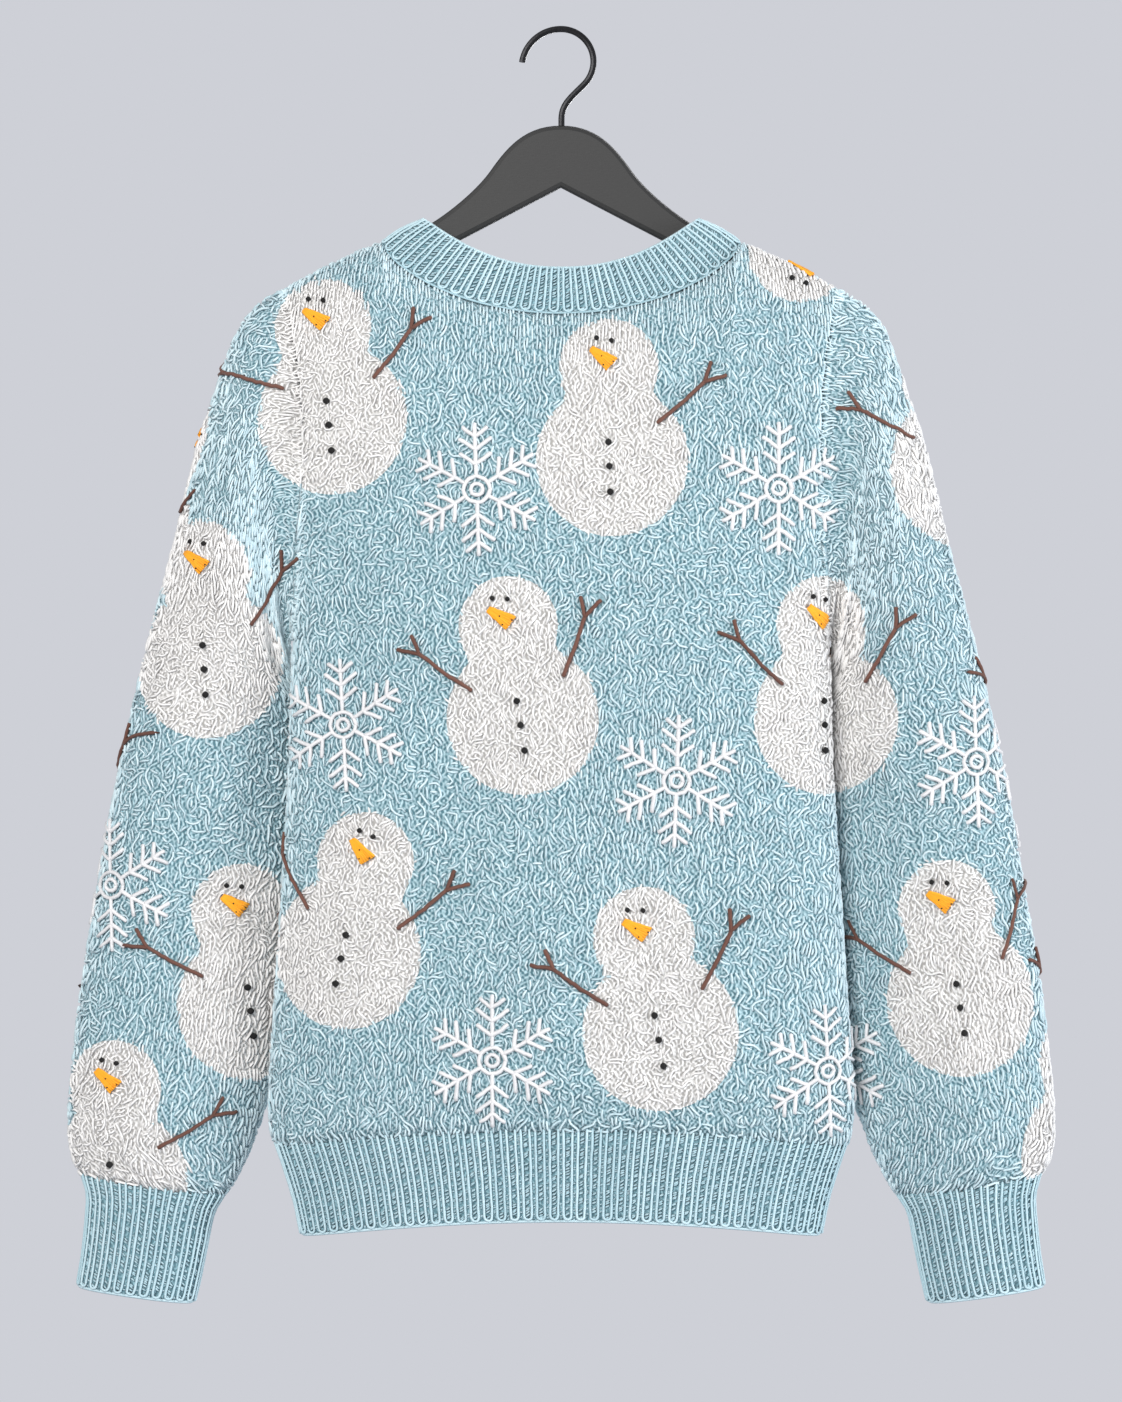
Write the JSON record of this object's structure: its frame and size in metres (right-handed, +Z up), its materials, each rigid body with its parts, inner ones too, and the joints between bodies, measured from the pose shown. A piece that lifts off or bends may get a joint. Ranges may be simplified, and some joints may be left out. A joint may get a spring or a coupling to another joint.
{
  "type": "christmas sweater on a clothes hanger",
  "caption": "Chunky knitted crew-neck jumper with ribbed neck, hem and cuffs and a winter pattern, hung on a flat contoured hanger with a wire hook, seen from its back.",
  "frame": {"origin": "under the inside of the hook's crown, where a rail holds it", "axes": "+Z up along the hook's stem, X along the hanger's arms across the shoulders, -Y out of the back of the garment, which the picture shows"},
  "size_m": [0.6436, 0.1173, 0.8301],
  "materials": {
    "knit": "looped light blue knit with white motifs",
    "rib_knit": "light blue one-by-one rib knit",
    "white_yarn": "off-white looped yarn",
    "brown_yarn": "brown stitched yarn",
    "black_yarn": "black stitched yarn",
    "orange_yarn": "orange stitched yarn",
    "hanger_paint": "matt charcoal paint on wood",
    "hook_metal": "satin black wire"
  },
  "bodies": {
    "root": {"back_panel": "knit", "front_panel": "knit", "sleeve_right": "knit", "sleeve_left": "knit", "cuff_right": "rib_knit", "cuff_left": "rib_knit", "hem_band": "rib_knit", "neck_band": "rib_knit", "hanger": "hanger_paint", "hook": "hook_metal"}
  },
  "joints": []
}
